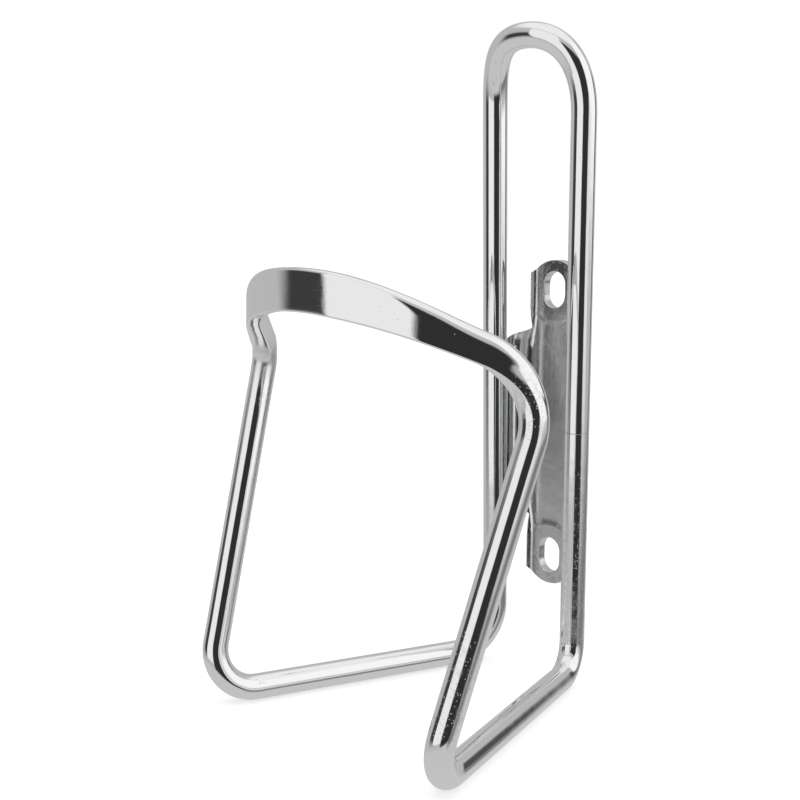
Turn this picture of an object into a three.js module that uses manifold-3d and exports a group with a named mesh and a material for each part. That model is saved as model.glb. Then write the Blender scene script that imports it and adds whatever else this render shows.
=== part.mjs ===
// Water bottle cage, bent from one aluminium tube round a stamped mounting plate. Millimetres, +Z up.
// The bottle stands on the -Y side and the bicycle's frame is on the +Y side. The origin is the centre
// of the plate's rear face, midway between its two bolt slots. The two sides mirror each other in X = 0,
// but for the bend at the foot of each rail.
import * as THREE from 'three';
import { mergeVertices } from 'three/addons/utils/BufferGeometryUtils.js';
import Module from 'manifold-3d';

// Tube
const tubeDiameter = 5.7;
const tubeWall = 1.1;
const bandWidth = 8.5; // height of the tube once it is pressed flat
const bandThickness = 2.3;
const buttGap = 0.3; // between the tube's two ends

// Rails: two nearly upright runs beside the plate, closer together at the bottom
const railDepth = 8.6; // from the frame face to the rails' centre plane, at z = 0
const railLean = 0.012; // the rails lean towards the bottle by this much per mm of height
const railHalfGapTop = 12.95;
const railHalfGapBottom = 11.9;
const loopStartZ = 70.8;
const loopRise = 17.9;
const loopFullness = 0.7; // handle of the cubic: 0.55 is an ellipse, more is squarer
const loopLean = 5.05; // how far the top of the loop stands in front of the rails' line
const bottomZ = -56.4;
const rearBendRadiusRight = 7.2; // the right rail is bent more tightly than the left
const rearBendRadiusLeft = 11.2;

// Bottom rods and arms
const frontCornerX = 33.9;
const frontCornerY = -79;
const frontCornerZ = -56.4;
const frontBendRadius = 8.8;
const armSlopeX = 0.105; // sideways per mm of height
const armSlopeY = 0.318; // back towards the frame per mm of height

// Band: a flat hoop round the front of the bottle, lower at the sides than at the front. Past its round
// part it runs straight on to the top of each arm.
const bottleAxisY = -42.8;
const bandRadius = 38.2;
const bandFrontZ = 34.2;
const bandDrop = 0.586; // height lost per mm of distance back from the front
const topBendRadiusRight = 14.3; // the left arm is bent more tightly into the band than the right
const topBendRadiusLeft = 6;
const fullWidthLength = 8; // of the band, each side of its front
const bendWidth = 6.2; // section of the tube where the band turns down into an arm
const bendThickness = 4.2;
const sharpCorner = 0.5; // corner radius on the pressed tube's lower edge, which is inside its bends
const bandUpperCorner = 0.8; // and on its upper edge
const bendUpperCorner = 1.4;
const roundShare = 0.2; // of the bend at the top of an arm, from the arm's side, that is still round
const pressedShare = 0.9; // and the share of it by which the tube is fully pressed

// Seam in the right rail, and the pin that lines up the two ends
const seamZ = 0.2;
const pinLength = 24;
const fitGap = 0.3; // between any two pieces that bear on each other

// Mounting plate: a trough of thick sheet, open towards the bottle, with a bolt slot at each end
const sheet = 2.2;
const plateHalfHeight = 39;
const slotZ = 32;
const slotWidth = 6.1;
const slotHeight = 8.5;
const tipRadius = 8;
const padHalfWidth = 6.3;
const padWebHalf = 5.1; // flat part of the trough's floor, at the slots
const middleWebHalf = 6.4; // and between them
const webNarrowFrom = 17; // heights over which the floor narrows
const webNarrowTo = 27;
const wingRun = 3; // sideways distance over which a wing rises from the floor to a rail
const wingHalfWidth = 11.7;
const wingHalfHeight = 19.8;
const neckLength = 3.2; // over which the outline narrows from the wings to a pad
const tipFlatHalf = 0.45; // the rounded tips end in a narrow flat

// Weld beads
const beadLength = 9;
const beadRadius = 1.1;
const beadZ = 13;

const vec = (x, y, z) => new THREE.Vector3(x, y, z);
const railY = (z) => -railDepth - railLean * z;
const smooth = THREE.MathUtils.smoothstep;
const lerp = THREE.MathUtils.lerp;

function railPoint(z) {
  const share = (z - bottomZ) / (loopStartZ - bottomZ);
  return vec(lerp(railHalfGapBottom, railHalfGapTop, share), railY(z), z);
}

const railWay = railPoint(1).sub(railPoint(0)).normalize();

function armPoint(z) {
  const rise = z - frontCornerZ;
  return vec(frontCornerX + armSlopeX * rise, frontCornerY + armSlopeY * rise, z);
}

// Where the arm's line meets the tilted plane of the band.
function armTopCorner() {
  const bandFrontY = bottleAxisY - bandRadius;
  const z =
    (bandFrontZ - bandDrop * (frontCornerY - armSlopeY * frontCornerZ - bandFrontY)) /
    (1 + bandDrop * armSlopeY);
  return armPoint(z);
}

// The angle from the front at which the band leaves its circle and runs straight at the arm's top.
function bandHalfAngle() {
  const corner = armTopCorner();
  const ahead = bottleAxisY - corner.y;
  return Math.atan2(corner.x, ahead) - Math.acos(bandRadius / Math.hypot(corner.x, ahead));
}

class BandArc extends THREE.Curve {
  // Runs from the right end of the band's round part (u = 0) to the front (u = 1).
  getPoint(u) {
    const angle = bandHalfAngle() * (1 - u);
    const back = bandRadius * (1 - Math.cos(angle));
    return vec(
      bandRadius * Math.sin(angle),
      bottleAxisY - bandRadius + back,
      bandFrontZ - bandDrop * back,
    );
  }
}

class FilletArc extends THREE.Curve {
  // A true arc that rounds the corner between two straight runs.
  constructor(before, corner, after, radius) {
    super();
    const toBefore = before.clone().sub(corner).normalize();
    const toAfter = after.clone().sub(corner).normalize();
    const halfAngle = toBefore.angleTo(toAfter) / 2;
    this.setback = radius / Math.tan(halfAngle);
    this.start = corner.clone().addScaledVector(toBefore, this.setback);
    this.end = corner.clone().addScaledVector(toAfter, this.setback);
    const middle = toBefore.clone().add(toAfter).normalize();
    this.centre = corner.clone().addScaledVector(middle, radius / Math.sin(halfAngle));
    this.startArm = this.start.clone().sub(this.centre);
    this.sideArm = this.end.clone().sub(this.centre);
    this.sweep = this.startArm.angleTo(this.sideArm);
    this.sideArm.addScaledVector(this.startArm, -Math.cos(this.sweep)).divideScalar(Math.sin(this.sweep));
  }
  getPoint(u) {
    const angle = this.sweep * u;
    return this.centre
      .clone()
      .addScaledVector(this.startArm, Math.cos(angle))
      .addScaledVector(this.sideArm, Math.sin(angle));
  }
}

// Half of the tube's centreline, as if on the right, from the top of the loop to the front of the band.
function halfPath(rearBendRadius, topBendRadius) {
  const loopTop = vec(0, railY(loopStartZ + loopRise) - loopLean, loopStartZ + loopRise);
  const loopFoot = railPoint(loopStartZ);
  const rearCorner = railPoint(bottomZ);
  const frontCorner = vec(frontCornerX, frontCornerY, frontCornerZ);
  const topCorner = armTopCorner();
  const loop = new THREE.CubicBezierCurve3(
    loopTop,
    loopTop.clone().add(vec(loopFullness * railHalfGapTop, 0, 0)),
    railPoint(loopStartZ + loopFullness * loopRise),
    loopFoot,
  );
  const band = new BandArc();
  const rearBend = new FilletArc(loopFoot, rearCorner, frontCorner, rearBendRadius);
  const frontBend = new FilletArc(rearCorner, frontCorner, topCorner, frontBendRadius);
  const topBend = new FilletArc(frontCorner, topCorner, band.getPoint(0), topBendRadius);
  const straight = new THREE.LineCurve3(topBend.end, band.getPoint(0));
  return { loop, rearBend, frontBend, topBend, straight, band };
}

// Sections along the run: half width, half thickness, and the corner radius on the lower and the upper
// edge. A round tube has all four alike.
const tubeRadius = tubeDiameter / 2;
const roundSection = { wide: tubeRadius, thin: tubeRadius, lower: tubeRadius, upper: tubeRadius };
const bendSection = {
  wide: bendWidth / 2,
  thin: bendThickness / 2,
  lower: sharpCorner,
  upper: bendUpperCorner,
};
const bandSection = {
  wide: bandWidth / 2,
  thin: bandThickness / 2,
  lower: sharpCorner,
  upper: bandUpperCorner,
};

function blend(from, to, share) {
  return {
    wide: lerp(from.wide, to.wide, share),
    thin: lerp(from.thin, to.thin, share),
    lower: lerp(from.lower, to.lower, share),
    upper: lerp(from.upper, to.upper, share),
  };
}

function stationsAlong(curve, steps, sectionAt = () => roundSection) {
  const list = [];
  for (let i = 0; i <= steps; i += 1) {
    const u = i / steps;
    list.push({ point: curve.getPoint(u), tangent: curve.getTangent(u), section: sectionAt(u) });
  }
  return list;
}

const mirrorX = (vector) => vec(-vector.x, vector.y, vector.z);

function mirrored(station) {
  return { ...station, point: mirrorX(station.point), tangent: mirrorX(station.tangent) };
}

function reversed(station) {
  return { ...station, tangent: station.tangent.clone().negate() };
}

const loopSteps = 10;
const bendSteps = 7;
const topBendSteps = 12;
const straightSteps = 3;
const bandSteps = 9;

// One half of the tube, from the top of the loop to the front of the band.
function halfStations(path) {
  const roundLength = path.band.getLength();
  const wholeLength = roundLength + path.straight.getLength();
  const pressedIn = (u) => blend(roundSection, bendSection, smooth(u, roundShare, pressedShare));
  const widened = (fromFront) =>
    blend(bandSection, bendSection, smooth(fromFront, fullWidthLength, wholeLength));
  const alongStraight = (u) => widened(lerp(wholeLength, roundLength, u));
  const alongBand = (u) => widened(roundLength * (1 - u));
  return [
    ...stationsAlong(path.loop, loopSteps),
    ...stationsAlong(path.rearBend, bendSteps),
    ...stationsAlong(path.frontBend, bendSteps),
    ...stationsAlong(path.topBend, topBendSteps, pressedIn),
    ...stationsAlong(path.straight, straightSteps, alongStraight).slice(1),
    ...stationsAlong(path.band, bandSteps, alongBand).slice(1),
  ];
}

// The whole run in order: from the seam up the right rail, over the loop, round the left side, along
// the band and down the right side, back to the seam.
function tubeStations() {
  const right = halfStations(halfPath(rearBendRadiusRight, topBendRadiusRight)).reverse().map(reversed);
  const left = halfStations(halfPath(rearBendRadiusLeft, topBendRadiusLeft)).slice(1, -1).map(mirrored);
  const firstOfLoop = right.length - 1 - loopSteps;
  const seamStation = (z) => ({ point: railPoint(z), tangent: railWay, section: roundSection });
  return [
    seamStation(seamZ + buttGap / 2),
    ...right.slice(firstOfLoop),
    ...left,
    ...right.slice(0, firstOfLoop),
    seamStation(seamZ - buttGap / 2),
  ];
}

// Outward direction of the tube's thin side: away from the bottle's axis, square to the run.
function thinWay(station) {
  const way = vec(station.point.x, station.point.y - bottleAxisY, 0);
  return way.addScaledVector(station.tangent, -way.dot(station.tangent)).normalize();
}

const pointsPerCorner = 4;

// The section's outline as [along the wide side, along the thin side] pairs: four rounded corners, whose
// flats touch the true round from outside.
function outlineOf(section, inset) {
  const outline = [];
  for (let quarter = 0; quarter < 4; quarter += 1) {
    const isLower = quarter === 0 || quarter === 3;
    const radius = isLower ? section.lower : section.upper;
    const facetRadius = (radius - inset) / Math.cos(Math.PI / 4 / pointsPerCorner);
    const wideCentre = (isLower ? 1 : -1) * (section.wide - radius);
    const thinCentre = (quarter < 2 ? 1 : -1) * (section.thin - radius);
    for (let k = 0; k < pointsPerCorner; k += 1) {
      const angle = ((quarter + (k + 0.5) / pointsPerCorner) * Math.PI) / 2;
      outline.push([
        wideCentre + facetRadius * Math.cos(angle),
        thinCentre + facetRadius * Math.sin(angle),
      ]);
    }
  }
  return outline;
}

function ringsOf(stations, inset) {
  return stations.map((station) => {
    const thin = thinWay(station);
    const wide = station.tangent.clone().cross(thin).normalize();
    return outlineOf(station.section, inset).map(([a, b]) =>
      station.point.clone().addScaledVector(wide, a).addScaledVector(thin, b),
    );
  });
}

// Skins a list of rings into one closed surface; the first and last rings get flat caps.
function skin(rings) {
  const positions = rings.flat().flatMap((p) => [p.x, p.y, p.z]);
  const sides = rings[0].length;
  const index = [];
  for (let i = 0; i + 1 < rings.length; i += 1) {
    for (let k = 0; k < sides; k += 1) {
      const a = i * sides + k;
      const b = i * sides + ((k + 1) % sides);
      index.push(a, a + sides, b, b, a + sides, b + sides);
    }
  }
  const last = (rings.length - 1) * sides;
  for (let k = 1; k + 1 < sides; k += 1) {
    index.push(0, k, k + 1, last, last + k + 1, last + k);
  }
  const geometry = new THREE.BufferGeometry();
  geometry.setAttribute('position', new THREE.Float32BufferAttribute(positions, 3));
  geometry.setIndex(index);
  return geometry;
}

const roundSides = 32; // of the turned shapes
const beadSides = 16;

const wasm = await Module();
wasm.setup();

function solidOf(geometry) {
  const bare = geometry.clone();
  bare.deleteAttribute('normal');
  bare.deleteAttribute('uv');
  const merged = mergeVertices(bare, 1e-4);
  const mesh = new wasm.Mesh({
    numProp: 3,
    vertProperties: new Float32Array(merged.attributes.position.array),
    triVerts: new Uint32Array(merged.index.array),
  });
  return new wasm.Manifold(mesh);
}

function geometryOf(solid) {
  const { vertProperties, triVerts } = solid.getMesh();
  const geometry = new THREE.BufferGeometry();
  geometry.setAttribute('position', new THREE.BufferAttribute(vertProperties, 3));
  geometry.setIndex(new THREE.BufferAttribute(triVerts, 1));
  geometry.computeVertexNormals();
  return geometry;
}

// The bore reaches from each end of the tube to the nearer arm top, where the tube is pressed shut.
function boreStations(stations) {
  const isPressed = (station) => station.section !== roundSection;
  const upper = stations.slice(0, stations.findIndex(isPressed));
  const lower = stations.slice(stations.findLastIndex(isPressed) + 1);
  upper.unshift({ ...upper[0], point: railPoint(seamZ + buttGap / 4) });
  lower.push({ ...lower.at(-1), point: railPoint(seamZ - buttGap / 4) });
  return [upper, lower];
}

// Turns a shape made along Y to lie along the right rail, and moves its middle to a point.
function alongRail(geometry, middle) {
  geometry.applyQuaternion(new THREE.Quaternion().setFromUnitVectors(vec(0, 1, 0), railWay));
  return solidOf(geometry.translate(middle.x, middle.y, middle.z));
}

// The right rail beside the plate, grown by the fit gap, as a cutter for what bears on it.
function railCutter() {
  const radius = tubeRadius + fitGap;
  const length = 2 * plateHalfHeight;
  return alongRail(new THREE.CylinderGeometry(radius, radius, length, roundSides), railPoint(0));
}

// Half width of the flat floor of the trough at a height.
function webHalf(z) {
  return lerp(middleWebHalf, padWebHalf, smooth(Math.abs(z), webNarrowFrom, webNarrowTo));
}

// How far forward of the floor the sheet stands at a point. The wings end flat, just behind the rails.
function sheetRise(x, z) {
  const full = -railY(z) - tubeRadius - fitGap - sheet;
  return full * smooth(Math.abs(x) - webHalf(z), 0, wingRun);
}

// Half width of the plate's outline at a height.
function plateHalfWidth(z) {
  const height = Math.abs(z);
  const sides = lerp(wingHalfWidth, padHalfWidth, smooth(height - wingHalfHeight, 0, neckLength));
  const intoTip = Math.max(0, height - plateHalfHeight + tipRadius);
  const tip = Math.max(tipFlatHalf, Math.sqrt(tipRadius ** 2 - intoTip ** 2));
  return intoTip > 0 ? Math.min(sides, tip) : sides;
}

const floorSteps = 3; // strips of the sheet from its middle to the edge of the floor
const wingSteps = 7; // and from there to the outline
const floorShareAtTip = 0.7;

// Evenly spaced values from one number up to another, which is left out.
const evenly = (from, to, steps) => Array.from({ length: steps }, (_, i) => lerp(from, to, i / steps));

// The list and its mirror image, from one end to the other. It starts at 0, which isn't doubled.
const bothWays = (half) => [...half.slice(1).reverse().map((value) => -value), ...half];

function plateRing(z) {
  const edge = plateHalfWidth(z);
  const floor = Math.min(webHalf(z), edge * floorShareAtTip);
  const across = bothWays([...evenly(0, floor, floorSteps), ...evenly(floor, edge, wingSteps), edge]);
  const rear = across.map((x) => vec(x, -sheetRise(x, z), z));
  const front = across.map((x) => vec(x, -sheet - sheetRise(x, z), z));
  return [...rear, ...front.reverse()];
}

const middleSteps = 5;
const neckSteps = 5;
const padSteps = 3;
const tipSteps = 7;

function plateHeights() {
  const neckTop = wingHalfHeight + neckLength;
  const tipStart = Math.acos(padHalfWidth / tipRadius);
  const tipHeight = (angle) => plateHalfHeight - tipRadius * (1 - Math.sin(angle));
  return bothWays([
    ...evenly(0, wingHalfHeight, middleSteps),
    ...evenly(wingHalfHeight, neckTop, neckSteps),
    ...evenly(neckTop, tipHeight(tipStart), padSteps),
    ...evenly(tipStart, Math.PI / 2, tipSteps).map(tipHeight),
    plateHalfHeight,
  ]);
}

function slotCutter(z) {
  const shape = new THREE.Shape();
  const radius = slotWidth / 2;
  const straight = (slotHeight - slotWidth) / 2;
  shape.absarc(0, straight, radius, 0, Math.PI);
  shape.absarc(0, -straight, radius, Math.PI, 2 * Math.PI);
  const geometry = new THREE.ExtrudeGeometry(shape, {
    depth: 3 * sheet,
    bevelEnabled: false,
    curveSegments: roundSides / 2,
  });
  geometry.rotateX(Math.PI / 2);
  geometry.translate(0, sheet, z);
  return solidOf(geometry);
}

function mountingPlate() {
  const blank = solidOf(skin(plateHeights().map(plateRing)));
  return blank.subtract(slotCutter(slotZ)).subtract(slotCutter(-slotZ));
}

// A weld bead fills the corner between the outer edge of a wing and the back of a rail.
function weldBead(side, z) {
  const railBack = railPoint(z).y + tubeRadius;
  const wingEdge = wingHalfWidth + fitGap;
  const bead = new THREE.CapsuleGeometry(beadRadius, beadLength - 2 * beadRadius, beadSides / 4, beadSides);
  const wing = new THREE.BoxGeometry(2 * wingEdge, 2 * beadLength, 2 * beadLength);
  wing.translate(0, railBack + beadLength - fitGap, z);
  const solid = alongRail(bead, vec(wingEdge, railBack, z)).subtract(solidOf(wing)).subtract(railCutter());
  return side > 0 ? solid : solid.mirror([1, 0, 0]);
}

function bentTube() {
  const stations = tubeStations();
  const bores = boreStations(stations).map((run) => solidOf(skin(ringsOf(run, tubeWall))));
  return bores.reduce((solid, bore) => solid.subtract(bore), solidOf(skin(ringsOf(stations, 0))));
}

function jointPin() {
  const radius = tubeRadius - tubeWall - fitGap;
  return alongRail(new THREE.CylinderGeometry(radius, radius, pinLength, roundSides), railPoint(seamZ));
}

const polished = new THREE.MeshStandardMaterial({ color: 0xc9cacc, roughness: 0.14, metalness: 1 });
const milled = new THREE.MeshStandardMaterial({ color: 0xb4b6b8, roughness: 0.4, metalness: 1 });

const cage = new THREE.Group();

function addPiece(name, solid, material) {
  const mesh = new THREE.Mesh(geometryOf(solid), material);
  mesh.name = name;
  cage.add(mesh);
}

addPiece('bent_tube', bentTube(), polished);
addPiece('joint_pin', jointPin(), milled);
addPiece('mounting_plate', mountingPlate(), polished);
for (const [height, z] of [['upper', beadZ], ['lower', -beadZ]]) {
  for (const [hand, side] of [['left', -1], ['right', 1]]) {
    addPiece(`weld_bead_${height}_${hand}`, weldBead(side, z), milled);
  }
}

export default cage;
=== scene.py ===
"""A water bottle cage in a photo studio. One aluminium tube is bent and pressed flat round the front of
the bottle, polished, and welded to a stamped mounting plate. The finished pieces stand in the places of
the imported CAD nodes. Lengths here are millimetres, and become metres when a mesh is made."""
import math

import bmesh
import bpy
import numpy as np
from mathutils import Matrix, Vector


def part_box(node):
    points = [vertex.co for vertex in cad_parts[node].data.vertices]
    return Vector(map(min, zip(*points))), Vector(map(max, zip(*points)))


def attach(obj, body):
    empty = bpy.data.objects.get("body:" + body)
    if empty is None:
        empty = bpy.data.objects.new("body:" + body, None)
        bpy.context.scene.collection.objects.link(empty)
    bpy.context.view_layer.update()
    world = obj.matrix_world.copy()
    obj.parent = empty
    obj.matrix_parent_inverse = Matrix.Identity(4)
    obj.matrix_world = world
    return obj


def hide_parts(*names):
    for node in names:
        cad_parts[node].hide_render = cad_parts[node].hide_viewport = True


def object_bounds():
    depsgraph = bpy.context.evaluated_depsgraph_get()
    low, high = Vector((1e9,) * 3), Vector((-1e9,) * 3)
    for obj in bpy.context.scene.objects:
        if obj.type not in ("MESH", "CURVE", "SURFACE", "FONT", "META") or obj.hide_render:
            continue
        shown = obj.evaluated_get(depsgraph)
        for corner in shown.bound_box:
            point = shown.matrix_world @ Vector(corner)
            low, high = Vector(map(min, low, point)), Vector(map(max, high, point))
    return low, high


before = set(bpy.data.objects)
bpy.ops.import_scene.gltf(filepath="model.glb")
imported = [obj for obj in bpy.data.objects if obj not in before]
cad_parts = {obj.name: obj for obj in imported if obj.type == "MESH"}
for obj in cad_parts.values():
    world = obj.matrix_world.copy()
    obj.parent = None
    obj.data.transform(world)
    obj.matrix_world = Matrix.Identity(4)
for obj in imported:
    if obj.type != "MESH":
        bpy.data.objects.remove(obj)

MM = 0.001

# Tube, as in the CAD
TUBE_RADIUS = 2.85
TUBE_WALL = 1.1
RAIL_DEPTH = 8.6
RAIL_LEAN = 0.012
RAIL_HALF_GAP_TOP = 12.95
RAIL_HALF_GAP_BOTTOM = 11.9
LOOP_START_Z = 70.8
LOOP_RISE = 17.9
LOOP_FULLNESS = 0.7
LOOP_LEAN = 5.05
BOTTOM_Z = -56.4
FRONT_CORNER = np.array([33.9, -79.0, -56.4])
ARM_SLOPE = np.array([0.105, 0.318])  # sideways and back, per mm of height
FRONT_BEND_RADIUS = 8.8
REAR_BEND_RADIUS = {"right": 7.2, "left": 11.2}
TOP_BEND_RADIUS = {"right": 14.3, "left": 6.0}
BOTTLE_AXIS_Y = -42.8
BAND_RADIUS = 38.2
BAND_FRONT_Z = 34.2
BAND_DROP = 0.586
FULL_WIDTH_LENGTH = 8.0
ROUND_SHARE = 0.2
PRESSED_SHARE = 0.9

# Tube, finer than in the CAD
BUTT_GAP = 0.1
END_CHAMFER = 0.05
WRINKLE_SHARE = 0.4  # of the way round the right rear bend, where its inside is folded
WRINKLE_HEIGHT = 0.28
WRINKLE_LENGTH = 2.4
WRINKLE_REACH = 2.0

# Pressed sections: half width, half thickness, lower corner radius, upper corner radius across the thin
# side and along the wide one, and dish of the inner face
BAND_SECTION = np.array([4.25, 1.15, 0.4, 0.7, 0.7, 0.0])
BEND_SECTION = np.array([3.1, 2.1, 0.4, 2.0, 3.2, 0.3])

# Plate, as in the CAD
SHEET = 2.2
PLATE_HALF_HEIGHT = 39.0
SLOT_Z = 32.0
SLOT_HALF_WIDTH = 3.05
SLOT_HALF_STRAIGHT = 1.2
TIP_RADIUS = 8.0
PAD_HALF_WIDTH = 6.3
PAD_WEB_HALF = 5.1
MIDDLE_WEB_HALF = 6.4
WEB_NARROW_FROM = 17.0
WEB_NARROW_TO = 27.0
WING_RUN = 3.0
WING_HALF_WIDTH = 11.7
WING_HALF_HEIGHT = 19.8
NECK_LENGTH = 3.2
FIT_GAP = 0.3
COIN_RADIUS = 8.0  # of the round step that the press left about each slot
COIN_HEIGHT = 0.1
COIN_STEP = 0.4
EDGE_ROUNDING = 0.22
TORN_WIDTH = 2.5  # of the dark rim that punching left round each slot

# Weld beads, as in the CAD, with the ripples of the weld pool
BEAD_RADIUS = 1.1
BEAD_LEAST = 0.03
BEAD_INNER_OFFSET = np.array([0.5, 0.35])  # to a point that each section is a star about
RIPPLE_LENGTH = 1.1
RIPPLE_DEPTH = 0.16
RIPPLE_PHASE = {"left": -0.2, "right": 0.4}

# Where the polish is worn. On the right rail it is a height and a reach, and on the arms a side, a share of
# the way up and a reach. Pressing left a dull skin on the sharp left bend.
WORN_RAIL = (-30.0, 34.0)
WORN_ARMS = [(1, 0.25, 16.0), (1, 0.95, 12.0), (-1, 0.84, 5.0)]
DULL_BEND_REACH = 13.0

# Colours of the clean and of the soiled or oxidised metal
POLISHED, SOILED = (0.91, 0.915, 0.92), (0.62, 0.61, 0.6)
ROLLED, SCUFFED = (0.83, 0.835, 0.84), (0.55, 0.55, 0.545)
FROZEN, SOOTY = (0.78, 0.78, 0.77), (0.42, 0.41, 0.4)
TURNED, SCORED = (0.84, 0.84, 0.85), (0.6, 0.6, 0.6)

# Camera and studio
CAMERA_AZIMUTH = 45.707
CAMERA_ELEVATION = 7.633
CAMERA_ROLL = 0.268
CAMERA_AT = Vector((182.81, -231.24, 44.61))
CAMERA_LENS = 55.43
CAMERA_NEAREST = 10
FLOOR_HALF_SIZE = 20000
FLOOR_GLOW = 0.5
ROOM_BRIGHTNESS = 0.5
# Each card: from and to azimuth, from and to elevation, tilt, softness of its edges and brightness. A later
# card covers an earlier one.
CARDS = [
    (-180, 180, -95, -22, 0, 10, 0.58),
    (-180, 180, 48, 95, 0, 20, 0.9),
    (-103, -60, -11, 17, 0, 16, 0.045),
    (-70, -12, -13, 45, 0, 4, 0.88),
    (-17, 40, -21, 29, 0, 7, 0.03),
    (40, 106, 0, 55, 0, 10, 1.0),
    (108, 124, -8, 20, 0, 8, 0.08),
    (34, 62, -10, 5, 0, 8, 0.8),
    (35, 125, -24, -12, 0.15, 10, 0.2),
]

# Mesh
LOOP_LENGTH_PER_RISE = 1.2  # near enough, to space the loop's points
SHARP_DEGREES = 35
ROUNDING_SEGMENTS = 3
BEND_STEP = 0.6
STRAIGHT_STEP = 2.5
WIDE_FACE_POINTS = 14
THIN_FACE_POINTS = 8
CORNER_POINTS = 7
WING_ROWS = 35
NECK_ROWS = 15
PAD_ROOT_ROWS = 2
PAD_START_Z = 24.6
PAD_CORNER_TURN = math.atan(PAD_HALF_WIDTH / (SLOT_Z - PAD_START_Z))
PAD_COLUMNS = 44
PAD_RAYS = 148
PAD_RINGS = 15
LEAST_SLOPE = 1e-9  # keeps an upright or a level ray from dividing by 0
BEAD_STEPS = 60
BEAD_SIDES = 28

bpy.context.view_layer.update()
SEAM_Z = (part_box("joint_pin")[0].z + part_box("joint_pin")[1].z) / 2 / MM


def smooth(value, start, end):
    """0 up to start, 1 from end on, and an S between them."""
    share = np.clip((value - start) / (end - start), 0, 1)
    return share * share * (3 - 2 * share)


def lerp(a, b, share):
    return a + (b - a) * share


def unit(vector):
    return vector / np.linalg.norm(vector)


# The tube's centreline


def rail_y(z):
    return -RAIL_DEPTH - RAIL_LEAN * z


def rail_point(z):
    share = (z - BOTTOM_Z) / (LOOP_START_Z - BOTTOM_Z)
    return np.array([lerp(RAIL_HALF_GAP_BOTTOM, RAIL_HALF_GAP_TOP, share), rail_y(z), z])


def arm_top_corner():
    """Where the arm's line meets the tilted plane of the band."""
    foot_y = FRONT_CORNER[1] - ARM_SLOPE[1] * FRONT_CORNER[2]
    front_y = BOTTLE_AXIS_Y - BAND_RADIUS
    z = (BAND_FRONT_Z - BAND_DROP * (foot_y - front_y)) / (1 + BAND_DROP * ARM_SLOPE[1])
    sideways, back = ARM_SLOPE * (z - FRONT_CORNER[2])
    return np.array([FRONT_CORNER[0] + sideways, FRONT_CORNER[1] + back, z])


def band_half_angle():
    corner = arm_top_corner()
    ahead = BOTTLE_AXIS_Y - corner[1]
    return math.atan2(corner[0], ahead) - math.acos(BAND_RADIUS / math.hypot(corner[0], ahead))


def band_point(angle):
    back = BAND_RADIUS * (1 - math.cos(angle))
    front_y = BOTTLE_AXIS_Y - BAND_RADIUS
    return np.array([BAND_RADIUS * math.sin(angle), front_y + back, BAND_FRONT_Z - BAND_DROP * back])


def fillet(before, corner, after, radius):
    """A true arc that rounds the corner between two straight runs, as a function of 0 to 1, and its
    length."""
    to_before, to_after = unit(before - corner), unit(after - corner)
    half_angle = math.acos(np.dot(to_before, to_after)) / 2
    setback = radius / math.tan(half_angle)
    centre = corner + unit(to_before + to_after) * (radius / math.sin(half_angle))
    start_arm = corner + to_before * setback - centre
    end_arm = corner + to_after * setback - centre
    sweep = math.pi - 2 * half_angle
    side_arm = (end_arm - math.cos(sweep) * start_arm) / math.sin(sweep)

    def arc(u):
        return centre + math.cos(sweep * u) * start_arm + math.sin(sweep * u) * side_arm

    return arc, radius * sweep


def line(start, end):
    """A straight run, as a function of 0 to 1, and its length."""
    return (lambda u: lerp(start, end, u)), float(np.linalg.norm(end - start))


def loop_curve():
    """Half of the loop over the top, as a cubic from its highest point to the head of the right rail, and
    roughly its length."""
    top_z = LOOP_START_Z + LOOP_RISE
    top = np.array([0, rail_y(top_z) - LOOP_LEAN, top_z])
    level = top + np.array([LOOP_FULLNESS * RAIL_HALF_GAP_TOP, 0, 0])
    upright = rail_point(LOOP_START_Z + LOOP_FULLNESS * LOOP_RISE)
    foot = rail_point(LOOP_START_Z)

    def curve(u):
        v = 1 - u
        return v**3 * top + 3 * v * v * u * level + 3 * v * u * u * upright + u**3 * foot

    return curve, LOOP_LENGTH_PER_RISE * LOOP_RISE + RAIL_HALF_GAP_TOP


def half_run(side):
    """Half of the tube's run, as if on the right, from the top of the loop to the front of the band. Each
    row is a point, how far the tube is pressed there, and how far the pressed tube is widened to the
    band."""
    rear, front, top = rail_point(BOTTOM_Z), FRONT_CORNER, arm_top_corner()
    half_angle = band_half_angle()
    foot, side_end = rail_point(LOOP_START_Z), band_point(half_angle)
    rear_bend = fillet(foot, rear, front, REAR_BEND_RADIUS[side])
    front_bend = fillet(rear, front, top, FRONT_BEND_RADIUS)
    top_bend = fillet(front, top, side_end, TOP_BEND_RADIUS[side])
    straight = line(top_bend[0](1), side_end)
    band = (lambda u: band_point(half_angle * (1 - u))), BAND_RADIUS * half_angle
    whole = band[1] + straight[1]

    def unpressed(_):
        return 0, 0

    def widened(from_front):
        return 1 - smooth(from_front, FULL_WIDTH_LENGTH, whole)

    pieces = [
        (loop_curve(), BEND_STEP, unpressed),
        (line(foot, rear_bend[0](0)), STRAIGHT_STEP, unpressed),
        (rear_bend, BEND_STEP, unpressed),
        (line(rear_bend[0](1), front_bend[0](0)), STRAIGHT_STEP, unpressed),
        (front_bend, BEND_STEP, unpressed),
        (line(front_bend[0](1), top_bend[0](0)), STRAIGHT_STEP, unpressed),
        (top_bend, BEND_STEP, lambda u: (smooth(u, ROUND_SHARE, PRESSED_SHARE), 0)),
        (straight, BEND_STEP, lambda u: (1, widened(whole - straight[1] * u))),
        (band, BEND_STEP, lambda u: (1, widened(band[1] * (1 - u)))),
    ]
    rows = []
    for (curve, length), step, pressing in pieces:
        steps = max(2, math.ceil(length / step))
        first = 1 if rows else 0
        rows += [[*curve(i / steps), *pressing(i / steps)] for i in range(first, steps + 1)]
    return np.array(rows)


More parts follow.
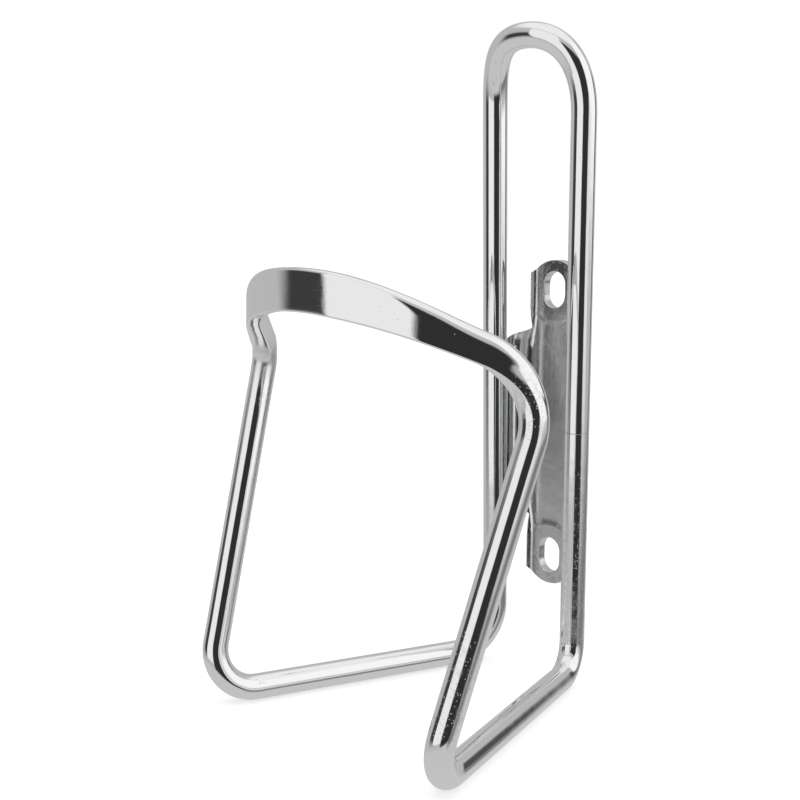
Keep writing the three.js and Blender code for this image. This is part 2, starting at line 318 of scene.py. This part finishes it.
def whole_run():
    """The tube's run from the seam in the right rail, over the loop, round the left side, along the band
    and down the right side to the seam again."""
    right, left = half_run("right"), half_run("left")
    left[:, 0] *= -1
    split = int(np.argmax(right[:, 2] < SEAM_Z))  # the first row below the seam

    def beside_seam(offset):
        return [[*rail_point(SEAM_Z + offset), 0, 0]]

    return np.concatenate(
        [
            beside_seam(BUTT_GAP / 2),
            beside_seam(BUTT_GAP / 2 + END_CHAMFER),
            right[split - 1 :: -1],
            left[1:],
            right[: split - 1 : -1][1:],
            beside_seam(-BUTT_GAP / 2 - END_CHAMFER),
            beside_seam(-BUTT_GAP / 2),
        ]
    )


# The tube's skin


def face_between(start, end, count, dish=0):
    """Points between two corners of a section, with the middle pushed in by the dish."""
    share = np.linspace(0, 1, count + 2)[1:-1, None]
    return lerp(start, end, share) + np.array([0, 1]) * dish * 4 * share * (1 - share)


def corner_arc(wide, thin, radii, from_degrees):
    """A quarter of an ellipse in the corner of a section, with its radii along the wide and thin sides."""
    angles = np.radians(from_degrees + np.linspace(0, 90, CORNER_POINTS))
    corner = np.array([wide, thin])
    centre = np.sign(corner) * (np.abs(corner) - radii)
    return centre + radii * np.column_stack([np.cos(angles), np.sin(angles)])


def pressed_outline(section):
    """The pressed tube's section, once round from the middle of its lower edge, as points along its wide
    and its thin side."""
    wide, thin, lower, upper_thin, upper_wide, dish = section
    lower_outer = corner_arc(wide, thin, np.array([lower, lower]), 0)
    upper_outer = corner_arc(-wide, thin, np.array([upper_wide, upper_thin]), 90)
    upper_inner = corner_arc(-wide, -thin, np.array([upper_thin, upper_thin]), 180)
    lower_inner = corner_arc(wide, -thin, np.array([lower, lower]), 270)
    return np.concatenate(
        [
            face_between(lower_inner[-1], lower_outer[0], THIN_FACE_POINTS),
            lower_outer,
            face_between(lower_outer[-1], upper_outer[0], WIDE_FACE_POINTS),
            upper_outer,
            face_between(upper_outer[-1], upper_inner[0], THIN_FACE_POINTS),
            upper_inner,
            face_between(upper_inner[-1], lower_inner[0], WIDE_FACE_POINTS, dish),
            lower_inner,
        ]
    )


def round_outline(radius):
    count = 2 * (WIDE_FACE_POINTS + THIN_FACE_POINTS) + 4 * CORNER_POINTS
    angles = (np.arange(count) - (THIN_FACE_POINTS - 1) / 2) * math.tau / count
    return radius * np.column_stack([np.cos(angles), np.sin(angles)])


def rings_along(run, outlines):
    """One closed ring of points for each row of the run. The thin side of the section faces away from the
    bottle's axis."""
    points = run[:, :3]
    tangents = np.gradient(points, axis=0)
    tangents /= np.linalg.norm(tangents, axis=1)[:, None]
    away = points - np.array([0, BOTTLE_AXIS_Y, 0])
    away[:, 2] = 0
    away -= np.sum(away * tangents, axis=1)[:, None] * tangents
    away /= np.linalg.norm(away, axis=1)[:, None]
    wide = np.cross(tangents, away)
    along_wide = outlines[:, :, :1] * wide[:, None, :]
    along_thin = outlines[:, :, 1:] * away[:, None, :]
    return points[:, None, :] + along_wide + along_thin


def skin(rings):
    """Vertices and faces of one closed surface through the rings, with a flat cap on each end."""
    count, sides = rings.shape[:2]
    faces = []
    for i in range(count - 1):
        for k in range(sides):
            a, b = i * sides + k, i * sides + (k + 1) % sides
            faces.append((a, a + sides, b + sides, b))
    faces.append(tuple(range(sides)))
    faces.append(tuple(range((count - 1) * sides, count * sides))[::-1])
    return rings.reshape(-1, 3), faces


def lengths_along(run):
    """How far along the tube each row of the run is."""
    steps = np.linalg.norm(np.diff(run[:, :3], axis=0), axis=1)
    return np.concatenate([[0], np.cumsum(steps)])


def wrinkled(outlines, run):
    """Folds the inside of the right rear bend, where the tube buckled a little as it was bent."""
    rear_bend = fillet(rail_point(0), rail_point(BOTTOM_Z), FRONT_CORNER, REAR_BEND_RADIUS["right"])
    off_middle = np.linalg.norm(run[:, :3] - rear_bend[0](WRINKLE_SHARE), axis=1)
    fold = WRINKLE_HEIGHT * np.cos(math.tau * off_middle / WRINKLE_LENGTH)
    fold *= np.exp(-((off_middle / WRINKLE_REACH) ** 2))
    inside = np.clip(outlines[:, :, 0] / TUBE_RADIUS, 0, 1) ** 2
    outlines[:, :, 0] -= fold[:, None] * inside
    return outlines


def tube_surface():
    """Vertices and faces of the tube, and the place of each vertex on the tube as if it were straight."""
    run = whole_run()
    outer = []
    for _, _, _, pressed, widened in run:
        flat = pressed_outline(lerp(BEND_SECTION, BAND_SECTION, widened))
        outer.append(lerp(round_outline(TUBE_RADIUS), flat, pressed))
    outer[0] = outer[-1] = round_outline(TUBE_RADIUS - END_CHAMFER)
    outer = wrinkled(np.array(outer), run)
    bore = np.array([round_outline(TUBE_RADIUS - TUBE_WALL)] * len(run))
    is_pressed = np.flatnonzero(run[:, 3] > 0)
    first, last = is_pressed[0], is_pressed[-1]

    def through(outer_rings, bore_rings):
        """The rings of the whole skin: out of the upper bore, along the outside and into the lower one."""
        return np.concatenate([bore_rings[:first][::-1], outer_rings, bore_rings[last + 1 :][::-1]])

    along = np.broadcast_to(lengths_along(run)[:, None, None], (*outer.shape[:2], 1))
    straight = through(np.concatenate([outer, along], axis=2), np.concatenate([bore, along], axis=2))
    points, faces = skin(through(rings_along(run, outer), rings_along(run, bore)))
    return points, faces, straight.reshape(-1, 3)


# The mounting plate


def sheet_rise(x, z):
    """How far the sheet stands forward of the floor of the trough."""
    full = -rail_y(z) - TUBE_RADIUS - FIT_GAP - SHEET
    web = lerp(MIDDLE_WEB_HALF, PAD_WEB_HALF, smooth(np.abs(z), WEB_NARROW_FROM, WEB_NARROW_TO))
    return full * smooth(np.abs(x) - web, 0, WING_RUN)


def middle_patch():
    """The wings and the floor between them, as a grid of x and z, up to where the two pads begin."""
    turns = np.linspace(-PAD_CORNER_TURN, PAD_CORNER_TURN, PAD_COLUMNS + 1)
    across = np.tan(turns) / math.tan(PAD_CORNER_TURN)
    neck_top = WING_HALF_HEIGHT + NECK_LENGTH
    upward = np.concatenate(
        [
            np.linspace(0, WING_HALF_HEIGHT, WING_ROWS + 1)[:-1],
            np.linspace(WING_HALF_HEIGHT, neck_top, NECK_ROWS + 1)[:-1],
            np.linspace(neck_top, PAD_START_Z, PAD_ROOT_ROWS + 1),
        ]
    )
    heights = np.concatenate([-upward[:0:-1], upward])
    narrowing = smooth(np.abs(heights), WING_HALF_HEIGHT, neck_top)
    half_widths = lerp(WING_HALF_WIDTH, PAD_HALF_WIDTH, narrowing)
    return np.stack([np.outer(half_widths, across), np.outer(heights, np.ones_like(across))], axis=-1)


def pad_patch():
    """The upper pad round its slot, as a grid of x and z. Each row is a ray from the slot's centre, from
    the slot's wall to the pad's outline or to the middle patch."""
    below = np.linspace(-PAD_CORNER_TURN, PAD_CORNER_TURN, PAD_COLUMNS + 1)
    around = np.linspace(PAD_CORNER_TURN, math.tau - PAD_CORNER_TURN, PAD_RAYS + 1)[1:-1]
    rows = []
    for turn in [*below, *around, below[0]]:
        way = np.array([math.sin(turn), -math.cos(turn)])
        sideways, upwards = max(abs(way[0]), LEAST_SLOPE), way[1]
        slot_side = SLOT_HALF_WIDTH / sideways
        slot_end = ray_to_circle(way, np.sign(upwards) * SLOT_HALF_STRAIGHT, SLOT_HALF_WIDTH)
        start = slot_side if abs(upwards) * slot_side < SLOT_HALF_STRAIGHT else slot_end
        end = PAD_HALF_WIDTH / sideways
        if upwards > 0:
            end = min(end, ray_to_circle(way, PLATE_HALF_HEIGHT - TIP_RADIUS - SLOT_Z, TIP_RADIUS))
        else:
            end = min(end, (SLOT_Z - PAD_START_Z) / max(-upwards, LEAST_SLOPE))
        reach = np.linspace(start, end, PAD_RINGS + 1)[:, None]
        rows.append(reach * way + np.array([0, SLOT_Z]))
    return np.array(rows)


def ray_to_circle(way, centre_up, radius):
    """The distance from a point inside a circle to the circle. Its centre is straight above the point."""
    ahead = way[1] * centre_up
    return ahead + math.sqrt(ahead * ahead - centre_up * centre_up + radius * radius)


def patch_faces(patch, first):
    """The quads of a grid whose points are numbered from the first on."""
    rows, columns = patch.shape[:2]
    index = first + np.arange(rows * columns).reshape(rows, columns)
    quads = np.stack([index[:-1, :-1], index[:-1, 1:], index[1:, 1:], index[1:, :-1]], axis=-1)
    return quads.reshape(-1, 4)


def boundary(faces):
    """The edges that only one face has, in the order that the face goes round."""
    uses = {}
    for face in faces.tolist():
        for a, b in zip(face, face[1:] + face[:1]):
            uses.setdefault(frozenset((a, b)), []).append((a, b))
    return [edges[0] for edges in uses.values() if len(edges) == 1]


def plate_surface():
    """Vertices and faces of the plate, and the edges of its outline and slots on both faces."""
    pad = pad_patch()
    flipped = pad[::-1] * np.array([1, -1])
    patches = [middle_patch(), pad, flipped]
    faces, points = [], np.zeros((0, 2))
    for patch in patches:
        faces.append(patch_faces(patch, len(points)))
        points = np.concatenate([points, patch.reshape(-1, 2)])
    _, kept, merged = np.unique(points.round(4), axis=0, return_index=True, return_inverse=True)
    points, faces = points[kept], merged.ravel()[np.concatenate(faces)]
    rim = boundary(faces)
    x, z = points.T
    from_slot = np.hypot(x, np.abs(z) - SLOT_Z)
    coin = COIN_HEIGHT * (1 - smooth(from_slot, COIN_RADIUS - COIN_STEP, COIN_RADIUS))
    rear_y = -sheet_rise(x, z)
    front = np.column_stack([x, rear_y - SHEET - coin, z])
    rear = np.column_stack([x, rear_y, z])
    count = len(points)
    solid = faces.tolist() + (faces[:, ::-1] + count).tolist()
    solid += [(b, a, a + count, b + count) for a, b in rim]
    rims = rim + [(a + count, b + count) for a, b in rim]
    return np.concatenate([front, rear]), solid, rims


# Weld beads


def bead_reach(way, centre, bead_centre, radius, rail_centre):
    """How far the bead's section goes from its inner point in one direction: to its own round surface, to
    the wing's edge or to the rail."""
    to_bead = bead_centre - centre
    ahead = float(np.dot(way, to_bead))
    reach = ahead + math.sqrt(max(0, ahead**2 - float(np.dot(to_bead, to_bead)) + radius**2))
    if way[0] < 0:
        reach = min(reach, (bead_centre[0] - centre[0]) / way[0])
    to_rail = rail_centre - centre
    ahead = float(np.dot(way, to_rail))
    off_line = float(np.dot(to_rail, to_rail)) - ahead**2
    rail_radius = TUBE_RADIUS + FIT_GAP
    if ahead > 0 and off_line < rail_radius**2:
        reach = min(reach, ahead - math.sqrt(rail_radius**2 - off_line))
    return max(reach, BEAD_LEAST)


def bead_surface(low, high, side, phase):
    """A rippled bead between two heights, in the corner behind the rail and beside the wing's edge."""
    middle, half = (low + high) / 2, (high - low) / 2
    rings = []
    for z in np.linspace(low + BEAD_LEAST, high - BEAD_LEAST, BEAD_STEPS):
        into_end = max(0, abs(z - middle) - (half - BEAD_RADIUS))
        ripple = 1 - RIPPLE_DEPTH * abs(math.sin(math.pi * (z / RIPPLE_LENGTH + phase)))
        radius = math.sqrt(BEAD_RADIUS**2 - into_end**2) * ripple
        rail = rail_point(z)
        bead_centre = np.array([WING_HALF_WIDTH + FIT_GAP, rail[1] + TUBE_RADIUS])
        centre = bead_centre + BEAD_INNER_OFFSET * radius / BEAD_RADIUS
        ring = []
        for turn in np.linspace(0, math.tau, BEAD_SIDES, endpoint=False):
            way = np.array([math.cos(turn), math.sin(turn)])
            x, y = centre + way * bead_reach(way, centre, bead_centre, radius, rail[:2])
            ring.append((side * x, y, z))
        rings.append(ring)
    return skin(np.array(rings))


# Pieces


def add_piece(name, surface, material, node):
    """Makes a mesh piece from vertices and faces in millimetres, to stand for a CAD node."""
    points, faces = surface
    mesh = bpy.data.meshes.new(name)
    mesh.from_pydata((np.asarray(points) * MM).tolist(), [], faces)
    shape = bmesh.new()
    shape.from_mesh(mesh)
    bmesh.ops.recalc_face_normals(shape, faces=shape.faces)
    shape.to_mesh(mesh)
    shape.free()
    mesh.shade_smooth()
    mesh.set_sharp_from_angle(angle=math.radians(SHARP_DEGREES))
    mesh.materials.append(material)
    piece = bpy.data.objects.new(name, mesh)
    bpy.context.scene.collection.objects.link(piece)
    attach(piece, "root")
    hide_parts(node)
    return piece


def round_edges(piece, edges, radius):
    """Rounds edges of a piece, given as pairs of its vertices."""
    shape = bmesh.new()
    shape.from_mesh(piece.data)
    shape.verts.ensure_lookup_table()
    chosen = [shape.edges.get((shape.verts[a], shape.verts[b])) for a, b in edges]
    bmesh.ops.bevel(
        shape,
        geom=chosen,
        offset=radius * MM,
        offset_type="OFFSET",
        segments=ROUNDING_SEGMENTS,
        profile=0.5,
        affect="EDGES",
        clamp_overlap=True,
    )
    shape.to_mesh(piece.data)
    shape.free()


# Materials


def add_node(tree, kind, inputs, **settings):
    """Adds a node and sets it up. Each input, by name or place, is a value, a socket, or a node whose first
    output is meant."""
    node = tree.nodes.new(kind)
    for key, value in settings.items():
        setattr(node, key, value)
    for key, value in inputs.items():
        if isinstance(value, bpy.types.Node):
            value = value.outputs[0]
        if isinstance(value, bpy.types.NodeSocket):
            tree.links.new(value, node.inputs[key])
        else:
            node.inputs[key].default_value = value
    return node


def math_node(tree, operation, first, second=0.0):
    return add_node(tree, "ShaderNodeMath", {0: first, 1: second}, operation=operation)


def metal(name):
    """A bare metal: the material, its nodes and its shader."""
    material = bpy.data.materials.new(name)
    material.use_nodes = True
    shader = material.node_tree.nodes["Principled BSDF"]
    shader.inputs["Metallic"].default_value = 1
    return material, material.node_tree, shader


def places(tree):
    """The place on the surface, in millimetres."""
    metres = add_node(tree, "ShaderNodeTexCoord", {}).outputs["Object"]
    return add_node(tree, "ShaderNodeVectorMath", {0: metres, "Scale": 1 / MM}, operation="SCALE")


def noise(tree, place, per_mm, detail=3.0):
    """Noise from 0 to 1, with so many features to the millimetre."""
    return add_node(tree, "ShaderNodeTexNoise", {"Vector": place, "Scale": per_mm, "Detail": detail})


def drawn_lines(tree, place, stretch, per_mm):
    """Noise drawn out along one direction, as polishing, rolling and turning leave it."""
    drawn = add_node(tree, "ShaderNodeVectorMath", {0: place, 1: stretch}, operation="MULTIPLY")
    return noise(tree, drawn, per_mm)


def remap(tree, value, start, end, low=0.0, high=1.0):
    """Low up to start, high from end on, and an S between them."""
    ends = {"Value": value, "From Min": start, "From Max": end, "To Min": low, "To Max": high}
    return add_node(tree, "ShaderNodeMapRange", ends, interpolation_type="SMOOTHSTEP")


def total(tree, parts):
    """The sum of the parts."""
    added = parts[0]
    for part in parts[1:]:
        added = math_node(tree, "ADD", added, part)
    return added


def product(tree, first, second):
    return math_node(tree, "MULTIPLY", first, second)


def greater(tree, first, second):
    return math_node(tree, "MAXIMUM", first, second)


def pits(tree, place, per_mm, radius, share):
    """1 inside small round pits, in a share of the cells of a Voronoi pattern."""
    cells = add_node(tree, "ShaderNodeTexVoronoi", {"Vector": place, "Scale": per_mm})
    inside = remap(tree, cells, radius, radius / 2)
    return product(tree, inside, math_node(tree, "LESS_THAN", cells.outputs["Color"], share))


def relief(tree, layers):
    """Bumps on bumps. Each layer is a height from 0 to 1 and how high it stands, in millimetres."""
    normal = None
    for height, reach in layers:
        inputs = {"Height": height, "Distance": reach * MM}
        if normal:
            inputs["Normal"] = normal
        normal = add_node(tree, "ShaderNodeBump", inputs)
    return normal


def between_colours(tree, share, first, second):
    """The first colour at 0, the second at 1. The node's colour sockets have the same names as its number
    sockets, so they are reached by place."""
    ends = {0: share, 6: (*first, 1), 7: (*second, 1)}
    return add_node(tree, "ShaderNodeMix", ends, data_type="RGBA").outputs[2]


def near(tree, place, centre, reach):
    """1 about the centre, and 0 beyond the reach."""
    inputs = {0: place, 1: centre.tolist()}
    away = add_node(tree, "ShaderNodeVectorMath", inputs, operation="DISTANCE").outputs["Value"]
    return remap(tree, away, reach, reach / 3)


def worn_zones(tree, place):
    """1 in the middle of the worn places, and 0 away from them."""
    height, reach = WORN_RAIL
    worn = near(tree, place, rail_point(height), reach)
    for side, share, reach in WORN_ARMS:
        on_arm = lerp(FRONT_CORNER, arm_top_corner(), share) * np.array([side, 1, 1])
        worn = greater(tree, worn, near(tree, place, on_arm, reach))
    return worn


def finish(tree, shader, colour, roughness, layers):
    """Joins a colour, a roughness and layers of relief to the shader."""
    tree.links.new(colour, shader.inputs["Base Color"])
    tree.links.new(roughness.outputs[0], shader.inputs["Roughness"])
    tree.links.new(relief(tree, layers).outputs[0], shader.inputs["Normal"])


def polished_aluminium():
    """The tube: mirror polish with faint lines along the tube, dull mottling and pits where it is worn."""
    material, tree, shader = metal("polished_aluminium")
    place = places(tree)
    attribute = add_node(tree, "ShaderNodeAttribute", {}, attribute_name="straightened")
    worn = worn_zones(tree, place)
    mottled = remap(tree, noise(tree, place, per_mm=0.7, detail=8.0), 0.46, 0.7)
    dulled = product(tree, worn, mottled)
    lines = drawn_lines(tree, attribute.outputs["Vector"], stretch=(1, 1, 0.02), per_mm=3.0)
    spots_share = remap(tree, worn, 0, 1, 0.02, 0.07)
    spots = pits(tree, place, per_mm=1.1, radius=0.28, share=spots_share)
    specks_share = remap(tree, worn, 0, 1, 0.04, 0.3)
    specks = pits(tree, place, per_mm=3.2, radius=0.34, share=specks_share)
    pitted = greater(tree, spots, specks)
    left_bend = arm_top_corner() * np.array([-1, 1, 1])
    roughness = total(
        tree,
        [
            remap(tree, noise(tree, place, per_mm=0.12, detail=4.0), 0.35, 0.75, 0.028, 0.075),
            remap(tree, lines, 0.45, 0.8, 0.0, 0.05),
            product(tree, dulled, 0.16),
            product(tree, pitted, 0.2),
            product(tree, near(tree, place, left_bend, DULL_BEND_REACH), 0.3),
        ],
    )
    soiled = greater(tree, product(tree, dulled, 0.3), product(tree, pitted, 0.5))
    waves = noise(tree, place, per_mm=0.16, detail=1.0)
    grain = noise(tree, place, per_mm=1.6, detail=4.0)
    hollows = math_node(tree, "SUBTRACT", 1.0, pitted)
    layers = [(waves, 0.05), (lines, 0.0012), (grain, 0.004), (hollows, 0.03)]
    finish(tree, shader, between_colours(tree, soiled, POLISHED, SOILED), roughness, layers)
    return material


def satin_aluminium():
    """The plate: rolled sheet with fine lines up it, scuffed pads, and convex edges left pale as a painted
    highlight.
    """
    material, tree, shader = metal("satin_aluminium")
    place = places(tree)
    upper_half = add_node(tree, "ShaderNodeVectorMath", {0: place}, operation="ABSOLUTE")
    height = add_node(tree, "ShaderNodeSeparateXYZ", {"Vector": upper_half}).outputs["Z"]
    on_pads = remap(tree, height, WING_HALF_HEIGHT, SLOT_Z)
    lines = drawn_lines(tree, place, stretch=(1, 1, 0.03), per_mm=4.0)
    scuffs = remap(tree, noise(tree, place, per_mm=0.7, detail=6.0), 0.5, 0.66)
    scuffed = product(tree, scuffs, remap(tree, on_pads, 0, 1, 0.15, 0.8))
    slot_centre = np.array([0, SHEET / 2, SLOT_Z])
    torn = product(tree, near(tree, upper_half, slot_centre, SLOT_HALF_WIDTH + TORN_WIDTH), scuffs)
    # Convex edges, found by pointiness, lose the scuff and pad darkening and stay pale: a painted highlight
    # along the rims and folds.
    edge = add_node(tree, "ShaderNodeNewGeometry", {}).outputs["Pointiness"]
    off_edge_highlight = math_node(tree, "SUBTRACT", 1.0, remap(tree, edge, 0.52, 0.6))
    roughness = total(
        tree,
        [
            remap(tree, lines, 0.3, 0.7, 0.11, 0.16),
            product(tree, scuffed, 0.16),
            product(tree, on_pads, 0.05),
        ],
    )
    soiled = greater(tree, greater(tree, scuffed, product(tree, on_pads, 0.3)), torn)
    # The scuffed colour, held back on convex edges so that they show as a painted highlight.
    colour = between_colours(tree, product(tree, soiled, off_edge_highlight), ROLLED, SCUFFED)
    dents = noise(tree, place, per_mm=0.22, detail=2.0)
    grain = noise(tree, place, per_mm=2.5, detail=5.0)
    finish(tree, shader, colour, roughness, [(dents, 0.05), (lines, 0.004), (grain, 0.008)])
    return material


def weld_aluminium():
    """The beads: as they froze, with a pale oxide skin, sooty at the toes."""
    material, tree, shader = metal("weld_aluminium")
    place = places(tree)
    grain = noise(tree, place, per_mm=1.8, detail=6.0)
    sooty = remap(tree, noise(tree, place, per_mm=0.5, detail=4.0), 0.48, 0.7)
    pores = pits(tree, place, per_mm=2.4, radius=0.3, share=0.2)
    colour = between_colours(tree, sooty, FROZEN, SOOTY)
    roughness = remap(tree, grain, 0.35, 0.7, 0.24, 0.46)
    finish(tree, shader, colour, roughness, [(grain, 0.03), (pores, 0.05)])
    return material


def turned_aluminium():
    """The pin: turned down to size, with fine rings round it and a few scores from being pressed in."""
    material, tree, shader = metal("turned_aluminium")
    place = places(tree)
    rings = drawn_lines(tree, place, stretch=(0.05, 0.05, 1), per_mm=6.0)
    scores = drawn_lines(tree, place, stretch=(1, 1, 0.02), per_mm=5.0)
    colour = between_colours(tree, remap(tree, scores, 0.62, 0.72), TURNED, SCORED)
    roughness = remap(tree, rings, 0.3, 0.7, 0.2, 0.36)
    finish(tree, shader, colour, roughness, [(rings, 0.01), (scores, 0.008)])
    return material


# The studio. Directions are an azimuth from the camera's own, in degrees, growing to its right, and an
# elevation above the horizon.


def window(tree, angle, low, high, softness):
    """1 where the angle, in radians, is between two angles in degrees, with soft ends."""
    middle, half = math.radians((low + high) / 2), math.radians((high - low) / 2)
    off = math_node(tree, "ABSOLUTE", math_node(tree, "SUBTRACT", angle, middle))
    edge = math.radians(softness) / 2
    ends = {"Value": off, "From Min": half + edge, "From Max": half - edge}
    return add_node(tree, "ShaderNodeMapRange", ends, interpolation_type="SMOOTHSTEP")


def add_surroundings():
    """The room that the metal mirrors: a pale floor and ceiling, two large soft boxes, and the dark of the
    room behind the camera and between the boxes. The camera itself sees plain white."""
    world = bpy.data.worlds.new("studio")
    bpy.context.scene.world = world
    world.use_nodes = True
    tree = world.node_tree
    tree.nodes.clear()
    way = add_node(tree, "ShaderNodeTexCoord", {})
    turn = -math.radians(CAMERA_AZIMUTH)
    rotation = {"Vector": way, "Angle": turn}
    turned = add_node(tree, "ShaderNodeVectorRotate", rotation, rotation_type="Z_AXIS")
    x, y, z = add_node(tree, "ShaderNodeSeparateXYZ", {"Vector": turned}).outputs
    azimuth = math_node(tree, "ARCTAN2", x, math_node(tree, "MULTIPLY", y, -1.0))
    elevation = math_node(tree, "ARCSINE", z)
    brightness = ROOM_BRIGHTNESS
    for turn_low, turn_high, low, high, tilt, softness, value in CARDS:
        middle = math.radians((turn_low + turn_high) / 2)
        sideways = math_node(tree, "SUBTRACT", azimuth, middle)
        level = math_node(tree, "SUBTRACT", elevation, math_node(tree, "MULTIPLY", sideways, tilt))
        across = window(tree, azimuth, turn_low, turn_high, softness)
        upright = window(tree, level, low, high, softness)
        inside = math_node(tree, "MULTIPLY", across, upright)
        step = {"Factor": inside, "A": brightness, "B": value}
        brightness = add_node(tree, "ShaderNodeMix", step)
    mirrored = add_node(tree, "ShaderNodeBackground", {"Color": brightness})
    seen = add_node(tree, "ShaderNodeBackground", {"Color": (1, 1, 1, 1)})
    is_camera = add_node(tree, "ShaderNodeLightPath", {})
    shader = add_node(tree, "ShaderNodeMixShader", {0: is_camera, 1: mirrored, 2: seen})
    add_node(tree, "ShaderNodeOutputWorld", {"Surface": shader})


def add_floor():
    """A pale floor that the object stands on. The metal mirrors the room in place of it."""
    mesh = bpy.data.meshes.new("floor")
    half = FLOOR_HALF_SIZE * MM
    corners = [(-half, -half, 0), (half, -half, 0), (half, half, 0), (-half, half, 0)]
    mesh.from_pydata(corners, [], [(0, 1, 2, 3)])
    floor = bpy.data.objects.new("floor", mesh)
    floor.location.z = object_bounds()[0].z
    bpy.context.scene.collection.objects.link(floor)
    material = bpy.data.materials.new("pale_floor")
    material.use_nodes = True
    shader = material.node_tree.nodes["Principled BSDF"]
    shader.inputs["Base Color"].default_value = (0.9, 0.9, 0.9, 1)
    shader.inputs["Roughness"].default_value = 0.9
    shader.inputs["Emission Color"].default_value = (1, 1, 1, 1)
    shader.inputs["Emission Strength"].default_value = FLOOR_GLOW
    mesh.materials.append(material)
    floor.visible_glossy = False


def add_camera():
    """A camera that looks across and a little down at the object."""
    azimuth, elevation = math.radians(CAMERA_AZIMUTH), math.radians(CAMERA_ELEVATION)
    camera = bpy.data.objects.new("camera", bpy.data.cameras.new("camera"))
    camera.data.lens = CAMERA_LENS
    camera.data.clip_start = CAMERA_NEAREST * MM
    looking_level = Matrix.Rotation(azimuth, 4, "Z") @ Matrix.Rotation(math.pi / 2 - elevation, 4, "X")
    roll = Matrix.Rotation(math.radians(CAMERA_ROLL), 4, "Z")
    camera.matrix_world = Matrix.Translation(CAMERA_AT * MM) @ looking_level @ roll
    bpy.context.scene.collection.objects.link(camera)
    bpy.context.scene.camera = camera
    bpy.context.scene.view_settings.view_transform = "Standard"


tube_points, tube_faces, straightened = tube_surface()
tube = add_piece("polished_tube", (tube_points, tube_faces), polished_aluminium(), "bent_tube")
tube.data.attributes.new("straightened", "FLOAT_VECTOR", "POINT")
tube.data.attributes["straightened"].data.foreach_set("vector", straightened.ravel())

plate_points, plate_faces, rims = plate_surface()
sheet = (plate_points, plate_faces)
plate = add_piece("stamped_plate", sheet, satin_aluminium(), "mounting_plate")
round_edges(plate, rims, EDGE_ROUNDING)

bead_material = weld_aluminium()
for height in ("upper", "lower"):
    for hand, side in (("left", -1), ("right", 1)):
        node = f"weld_bead_{height}_{hand}"
        low, high = (corner.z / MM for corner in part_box(node))
        surface = bead_surface(low, high, side, RIPPLE_PHASE[hand])
        add_piece(f"weld_{height}_{hand}", surface, bead_material, node)

pin = bpy.data.objects["joint_pin"]
pin.material_slots[0].material = turned_aluminium()

add_surroundings()
add_floor()
add_camera()
